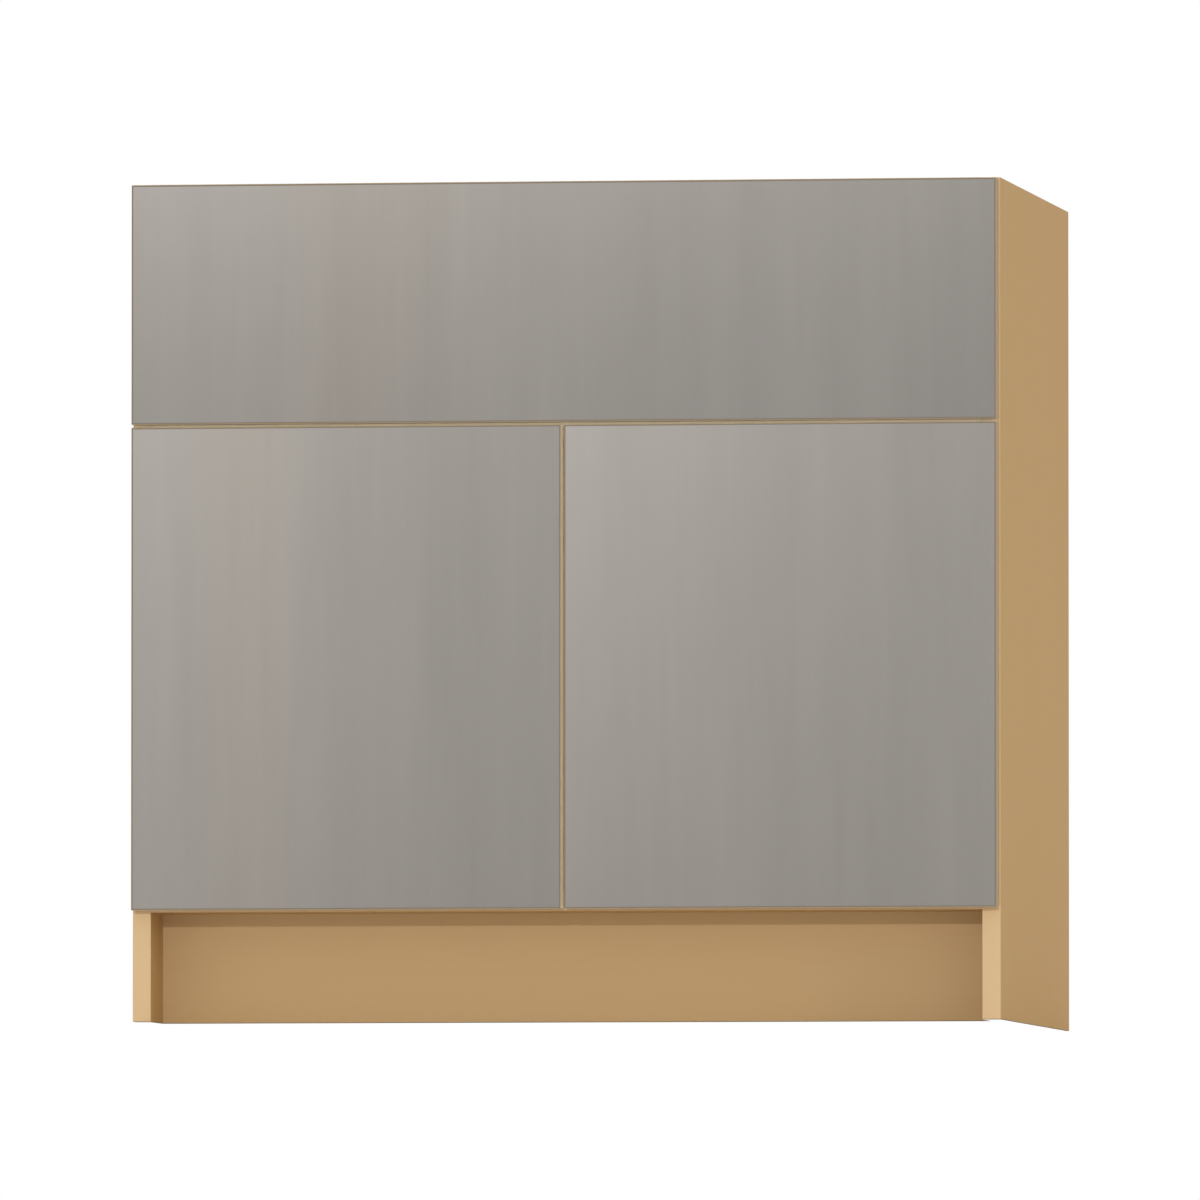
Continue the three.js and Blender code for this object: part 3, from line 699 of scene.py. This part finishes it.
def bumper(node, rubber):
    """A clear dome that the door closes on."""
    low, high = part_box(node)
    middle = (low + high) / 2
    radius = (high.x - low.x) / 2
    height = high.y - low.y
    profile = []
    for step in range(BUMPER_RINGS):
        turn = step * math.pi / 2 / BUMPER_RINGS
        profile.append((radius * math.cos(turn), height * math.sin(turn)))
    bm = bmesh.new()
    last = lathed(bm, profile, BUMPER_STEPS)[-1]
    crown = bm.verts.new((0, 0, height))
    for i in range(BUMPER_STEPS):
        bm.faces.new((last[i], last[(i + 1) % BUMPER_STEPS], crown))
    aim = Matrix.Translation((middle.x, low.y, middle.z)) @ Matrix.Rotation(-math.pi / 2, 4, "X")
    bmesh.ops.transform(bm, matrix=aim, verts=bm.verts)
    bmesh.ops.recalc_face_normals(bm, faces=bm.faces)
    piece = piece_from(f"{node}_dome", bm, rubber, frame["nodes"][node]["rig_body"])
    for polygon in piece.data.polygons:
        polygon.use_smooth = len(polygon.vertices) < BUMPER_STEPS
    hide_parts(node)


def false_front_screws(steel):
    """Long screws that hold the false front, with their heads inside the case."""
    screws = [f"{level}_{side}_front_screw" for side in SIDES for level in LEVELS]
    places = []
    for screw in screws:
        low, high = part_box(screw)
        seat = high.y - FRONT_SCREW_HEAD
        places.append((((low.x + high.x) / 2, seat, (low.z + high.z) / 2), REARWARD))
    low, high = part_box(screws[0])
    radius = (high.x - low.x) / 2
    long_screw = screw_shape("long_screw", (high.y - low.y - FRONT_SCREW_HEAD) / radius)
    fixings("false_front_screws", places, long_screw, radius, steel, "carcass",
            seed=5, stands_for=screws)


def dress_fronts(rubber, plastic, steel):
    """The false front and the two doors, with what stands on their backs."""
    edging = front_edging()
    for front in FRONTS:
        keep(f"{front}_face", front_laminate(front))
        keep(f"{front}_board", melamine(f"{front}_board", Z))
        eased_copy(f"{front}_edge_band", edging, BAND_EASE)
    for side in SIDES:
        for level in LEVELS:
            bumper(f"{side}_door_{level}_bumper", rubber)
            keep(f"{level}_{side}_front_spacer", plastic)
    false_front_screws(steel)


# ---------------------------------------------------------------- hinges

HINGE_EASES = {  # rounding of each part's corners
    "mounting_plate": 0.3 * MM,
    "arm": 0.3 * MM,
    "cup": 0.25 * MM,
    "outer_link": 0.2 * MM,
    "inner_link": 0.2 * MM,
}
PLATE_SCREW_RADIUS = 3.9 * MM
PLATE_SCREW_BACK = 12 * MM  # plate screws, behind the front end of the plate's rail
PLATE_SCREW_HALF = 16 * MM
PLATE_BASE = 1.6 * MM
CUP_SCREW_RADIUS = 3.6 * MM
CUP_REACH = 19 * MM  # cup centre, from the inboard edge of its flange
EAR_BACK = 9.5 * MM
EAR_HALF = 22.5 * MM
ADJUSTER_RADIUS = 3.0 * MM
ADJUSTERS = (10 * MM, 26 * MM)  # from the rear end of the arm
ARM_TAIL_RISE = 11.9 * MM  # flat tail of the arm, above the side panel
RIVET_RADIUS = 1.9 * MM
OUTER_PIN = (7.19 * MM, 15.87 * MM)  # inboard of the side's inner face, behind the case's front
INNER_PIN = (19.61 * MM, 7.51 * MM)


def above_side(outward, rise):
    """A place that stands so far inboard of a side's inner face, which is where the deck ends."""
    return outward * (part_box("bottom_panel")[1].x - rise)


def hinge_height(hinge):
    """The middle height of a hinge."""
    low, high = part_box(f"{hinge}_mounting_plate")
    return (low.z + high.z) / 2


def plate_screws(hinge, outward):
    """One screw in each wing of the mounting plate."""
    x = above_side(outward, PLATE_BASE)
    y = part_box(f"{hinge}_mounting_plate")[0].y + PLATE_SCREW_BACK
    middle = hinge_height(hinge)
    return [((x, y, middle + half), (-outward, 0, 0)) for half in (-PLATE_SCREW_HALF, PLATE_SCREW_HALF)]


def adjusting_screws(hinge, outward):
    """The screws on the flat tail of the arm."""
    x = above_side(outward, ARM_TAIL_RISE)
    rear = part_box(f"{hinge}_arm")[1].y
    return [((x, rear - back, hinge_height(hinge)), (-outward, 0, 0)) for back in ADJUSTERS]


def pin_rivets(hinge, outward):
    """Heads on both ends of the pins that hold the links in the arm."""
    low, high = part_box(f"{hinge}_arm")
    case_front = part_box("left_side_edge_band")[0].y
    places = []
    for inboard, behind in (OUTER_PIN, INNER_PIN):
        x = above_side(outward, inboard)
        places.append(((x, case_front + behind, high.z), (0, 0, 1)))
        places.append(((x, case_front + behind, low.z), (0, 0, -1)))
    return places


def cup_screws(hinge, outward):
    """One screw in each ear of the cup's flange."""
    low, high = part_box(f"{hinge}_cup")
    inboard_edge = low.x if outward > 0 else high.x
    ear = inboard_edge + outward * (CUP_REACH - EAR_BACK)
    middle = hinge_height(hinge)
    return [((ear, high.y, middle + half), REARWARD) for half in (-EAR_HALF, EAR_HALF)]


def on_hinges(places, hinges):
    """The places of one kind of fixing on a number of hinges."""
    return [place for hinge, outward in hinges for place in places(hinge, outward)]


def dress_hinges(steel, dull):
    """The four door hinges, with their screws and rivets."""
    of_side = {side: [(f"{side}_{level}_hinge", outward) for level in LEVELS]
               for side, outward in SIDES.items()}
    hinges = of_side["left"] + of_side["right"]
    for hinge, _ in hinges:
        for part, radius in HINGE_EASES.items():
            finish = dull if part.endswith("link") else steel
            eased_copy(f"{hinge}_{part}", finish, radius)
    fixings("hinge_plate_screws", on_hinges(plate_screws, hinges), SCREW, PLATE_SCREW_RADIUS,
            steel, "carcass", seed=7)
    fixings("hinge_adjusting_screws", on_hinges(adjusting_screws, hinges), SCREW, ADJUSTER_RADIUS,
            dull, "carcass", seed=11)
    fixings("hinge_rivets", on_hinges(pin_rivets, hinges), RIVET, RIVET_RADIUS,
            steel, "carcass", seed=13)
    for side in SIDES:
        fixings(f"{side}_cup_screws", on_hinges(cup_screws, of_side[side]), SCREW, CUP_SCREW_RADIUS,
                steel, f"{side}_door", seed=17)


# ---------------------------------------------------------------- camera, light and floor

CAMERA_AZIMUTH = math.radians(8.3)
CAMERA_ELEVATION = math.radians(-2.47)
CAMERA_DISTANCE = 21.0
CAMERA_AIM = Vector((-0.0048, 0.0, 0.4507))
CAMERA_LENS = 595.8  # mm, and so is the sensor
CAMERA_SENSOR = 36
CAMERA_SIGHT = 200  # metres

AMBIENT = 0.65
GLOSSY_SHARE = 0.5  # how far the white of the background shows in a shiny face
LAMP_AIM = Vector((0, 0, 0.45))  # about the middle of the cabinet
FRONT_LAMP_LEVEL = 0.55
FRONT_LAMP_AWAY = 6.0
FRONT_LAMP_RISE = math.radians(8.8)  # sets how far down the kick board the deck's shadow reaches
FRONT_LAMP_WIDTH = math.radians(1.0)
SOFT_LAMPS = {  # place, watts and width
    "right_lamp": ((8.5, -3.1, 1.7), 120, 3.4),  # so far forward that it also lights the kick board
    "left_lamp": ((-4.2, 3.0, 2.4), 62, 3.0),
    "top_lamp": ((0.4, -0.8, 4.6), 36, 3.0),
}

FLOOR_FADE = (2.2, 4.2)  # the floor melts into the background between these distances
FLOOR_MARGIN = 0.3
UNDERLAY_DROP = 0.5 * MM


def make_camera():
    """A long lens, a little to the right of the cabinet and a little below its middle."""
    data = bpy.data.cameras.new("camera")
    data.lens = CAMERA_LENS
    data.sensor_width = CAMERA_SENSOR
    data.clip_end = CAMERA_SIGHT
    camera = bpy.data.objects.new("camera", data)
    flat = math.cos(CAMERA_ELEVATION)
    back = Vector((math.sin(CAMERA_AZIMUTH) * flat, -math.cos(CAMERA_AZIMUTH) * flat,
                   math.sin(CAMERA_ELEVATION)))
    camera.location = CAMERA_AIM + back * CAMERA_DISTANCE
    camera.rotation_euler = (-back).to_track_quat("-Z", "Y").to_euler()
    bpy.context.scene.collection.objects.link(camera)
    bpy.context.scene.camera = camera


def make_world():
    """Even pale light all round, and plain white where the camera or a shiny face looks at it."""
    world = bpy.data.worlds.new("studio")
    bpy.context.scene.world = world
    world.use_nodes = True
    s = Shader(world.node_tree)
    soft = s.node("ShaderNodeBackground", {}, {"Color": WHITE, "Strength": AMBIENT})
    white = s.node("ShaderNodeBackground", {}, {"Color": WHITE, "Strength": 1.0})
    camera = s.node("ShaderNodeLightPath", out="Is Camera Ray")
    glossy = s.node("ShaderNodeLightPath", out="Is Glossy Ray")
    clear = s.node("ShaderNodeLightPath", out="Is Transmission Ray")
    seen = s.larger(s.larger(camera, clear), GLOSSY_SHARE * glossy)
    both = s.node("ShaderNodeMixShader", {}, {0: seen, 1: soft, 2: white})
    s.node("ShaderNodeOutputWorld", {}, {"Surface": both})


def lamp(name, kind, place, strength, **settings):
    """A lamp that points at the middle of the cabinet."""
    data = bpy.data.lights.new(name, kind)
    data.energy = strength
    for key, value in settings.items():
        setattr(data, key, value)
    made = bpy.data.objects.new(name, data)
    made.location = place
    made.rotation_euler = (LAMP_AIM - made.location).to_track_quat("-Z", "Y").to_euler()
    bpy.context.scene.collection.objects.link(made)


def make_lamps():
    """A low lamp in front, which throws the shadow of the deck on the kick board, and three soft ones."""
    height = LAMP_AIM.z + FRONT_LAMP_AWAY * math.tan(FRONT_LAMP_RISE)
    lamp("front_lamp", "SUN", (0.0, -FRONT_LAMP_AWAY, height), FRONT_LAMP_LEVEL,
         angle=FRONT_LAMP_WIDTH, specular_factor=0.25)
    for name, (place, watts, width) in SOFT_LAMPS.items():
        lamp(name, "AREA", place, watts, shape="DISK", size=width, specular_factor=0.5)


def flat_sheet(name, outline, height, material):
    """A level sheet that belongs to the surroundings and not to the cabinet."""
    mesh = bpy.data.meshes.new(name)
    mesh.from_pydata([(x, y, height) for x, y in outline], [], [list(range(len(outline)))])
    sheet = bpy.data.objects.new(name, mesh)
    mesh.materials.append(material)
    bpy.context.scene.collection.objects.link(sheet)
    return sheet


def make_floor():
    """A pale floor that keeps the cabinet's shadow, is clear from below and fades out far away."""
    material, s = new_material("pale_floor")
    place = s.here()
    distance = s.node("ShaderNodeVectorMath", {"operation": "LENGTH"}, {0: place}, out="Value")
    far = s.ease(distance, *FLOOR_FADE)
    below = s.node("ShaderNodeNewGeometry", out="Backfacing")
    speckle = s.noise((35, 35, 35), 3.0)
    matt = s.node("ShaderNodeBsdfDiffuse", {}, {"Color": s.lit(FLOOR_WHITE, 1.0 + 0.006 * speckle)})
    clear = s.node("ShaderNodeBsdfTransparent")
    both = s.node("ShaderNodeMixShader", {}, {0: s.larger(far, below), 1: matt, 2: clear})
    s.node("ShaderNodeOutputMaterial", {}, {"Surface": both})
    reach = FLOOR_FADE[1] + FLOOR_MARGIN
    corners = [(-reach, -reach), (reach, -reach), (reach, reach), (-reach, reach)]
    flat_sheet("floor", corners, 0.0, material)


def make_underlay():
    """A white sheet under the cabinet's feet, which only the camera sees, and only from below."""
    material, s = new_material("underlay")
    glow = s.node("ShaderNodeEmission", {}, {"Color": WHITE, "Strength": 1.0})
    s.node("ShaderNodeOutputMaterial", {}, {"Surface": glow})
    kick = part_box("toe_kick_board")[0].y
    low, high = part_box("left_side_panel")
    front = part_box("left_side_edge_band")[0].y
    outside, inside, rear = low.x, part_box("bottom_panel")[0].x, high.y
    outline = [(outside, front), (inside, front), (inside, kick), (-inside, kick), (-inside, front),
               (-outside, front), (-outside, rear), (outside, rear)]
    sheet = flat_sheet("underlay", outline, -UNDERLAY_DROP, material)
    for ray in ("diffuse", "glossy", "transmission", "volume_scatter", "shadow"):
        setattr(sheet, f"visible_{ray}", False)


# ---------------------------------------------------------------- light in the gaps

GAP_TINT = (0.68, 0.84, 1.0)  # makes up for the warm light between the boards
LOWER_EDGE_LEVEL = 0.5
DOOR_GAP_LEVEL = 1.35
RAIL_LEVEL = 0.7
END_LEVEL = 0.45
STRIP_SOFTNESS = math.radians(60)
STRIP_MARGIN = 0.6 * MM
END_STRIP_INSET = 2.5 * MM  # the outer edge of a side has enough light


def gap_lamp(name, kind, heading, energy, receivers):
    """Shines on chosen pieces alone and throws no shadow, so that the narrow gaps aren't black."""
    data = bpy.data.lights.new(name, kind)
    data.energy = energy
    data.color = GAP_TINT
    data.use_shadow = False
    data.specular_factor = 0.0
    made = bpy.data.objects.new(name, data)
    made.rotation_euler = Vector(heading).to_track_quat("-Z", "Y").to_euler()
    bpy.context.scene.collection.objects.link(made)
    group = bpy.data.collections.new(f"{name}_pieces")
    for piece in receivers:
        group.objects.link(piece)
    made.light_linking.receiver_collection = group
    return made


def strip_lamp(node, level, heading, corner, far_corner):
    """A thin upright lamp between two corners, which lights the node across a gap."""
    across = math.hypot(far_corner.x - corner.x, far_corner.y - corner.y)
    up = far_corner.z - corner.z
    energy = level * math.pi * across * up
    strip = gap_lamp(f"{node}_strip_lamp", "AREA", heading, energy, [dressed(node)])
    strip.location = (corner + far_corner) / 2
    strip.data.shape = "RECTANGLE"
    strip.data.size = across
    strip.data.size_y = up
    strip.data.spread = STRIP_SOFTNESS


def light_lower_edges():
    """The lower edges of the fronts, seen from a little below."""
    bands = [dressed(f"{front}_edge_band") for front in FRONTS]
    gap_lamp("lower_edge_lamp", "SUN", UP, LOWER_EDGE_LEVEL * math.pi, bands)


def light_door_gap():
    """The gap between the doors shows the edge of the left one."""
    low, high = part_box("left_door_edge_band")
    middle = (high.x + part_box("right_door_edge_band")[0].x) / 2
    strip_lamp("left_door_edge_band", DOOR_GAP_LEVEL, LEFTWARD,
               Vector((middle, low.y, low.z)), Vector((middle, high.y, high.z)))


def light_long_gap():
    """The gap between the false front and the doors shows the rail and the ends of the sides."""
    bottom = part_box("left_door_edge_band")[1].z - STRIP_MARGIN
    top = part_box("false_front_edge_band")[0].z + STRIP_MARGIN
    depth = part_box("left_door_board")[1].y
    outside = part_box("right_side_panel")[1].x - END_STRIP_INSET
    levels = {
        "left_side_edge_band": END_LEVEL,
        "middle_front_rail": RAIL_LEVEL,
        "right_side_edge_band": END_LEVEL,
    }
    for node, level in levels.items():
        low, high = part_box(node)
        left = max(low.x, -outside)
        right = min(high.x, outside)
        strip_lamp(node, level, REARWARD, Vector((left, depth, bottom)), Vector((right, depth, top)))


# ---------------------------------------------------------------- the cabinet

make_camera()
make_world()
make_lamps()
make_floor()
make_underlay()

steel = plated_steel("nickel_plate", roughness=0.3)
dull = plated_steel("dull_nickel_plate", roughness=0.38)
plastic = moulded_plastic()
rubber = clear_rubber()
dress_case()
dress_brackets(plastic, steel)
dress_fronts(rubber, plastic, steel)
dress_hinges(steel, dull)

light_lower_edges()
light_door_gap()
light_long_gap()

bpy.context.scene.view_settings.view_transform = "Standard"
